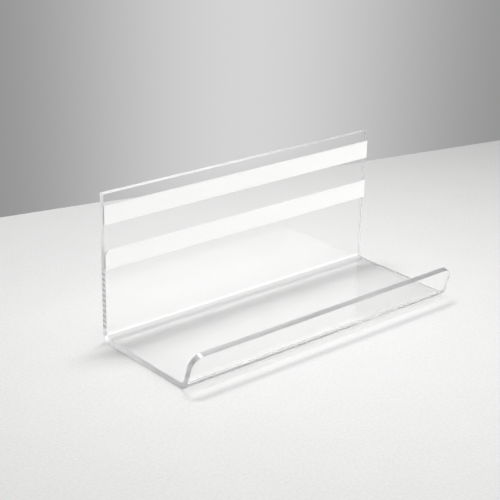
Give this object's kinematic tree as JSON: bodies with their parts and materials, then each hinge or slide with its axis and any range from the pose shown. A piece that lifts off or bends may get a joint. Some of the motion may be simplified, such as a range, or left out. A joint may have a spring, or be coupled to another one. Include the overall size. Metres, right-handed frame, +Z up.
{
  "type": "acrylic card tray stand",
  "caption": "Clear acrylic sheet bent into a tall upright, a flat base and a low lip that leans outwards, with foam tape strips under peel-off liners across the upright; holds cards.",
  "frame": {"origin": "on the floor, under the middle of the stand's box", "axes": "+X along the width, +Y towards the upright at the rear, -Y towards the front lip, +Z up"},
  "size_m": [0.2296, 0.0945, 0.1016],
  "materials": {
    "clear_acrylic": "polished",
    "tape_adhesive": "gloss",
    "tape_foam": "matte",
    "release_liner": "satin"
  },
  "bodies": {
    "stand": {"acrylic_shelf": "clear_acrylic", "upper_tape_bond_adhesive": "tape_adhesive", "upper_tape_foam": "tape_foam", "upper_tape_face_adhesive": "tape_adhesive", "lower_tape_bond_adhesive": "tape_adhesive", "lower_tape_foam": "tape_foam", "lower_tape_face_adhesive": "tape_adhesive"},
    "upper_liner": {"upper_release_liner": "release_liner"},
    "lower_liner": {"lower_release_liner": "release_liner"}
  },
  "joints": [
    {"name": "upper_liner_peel", "type": "slide", "parent": "stand", "child": "upper_liner", "axis": [0, -1, 0], "range_m": [0, 0.1]},
    {"name": "lower_liner_peel", "type": "slide", "parent": "stand", "child": "lower_liner", "axis": [0, -1, 0], "range_m": [0, 0.1]}
  ]
}
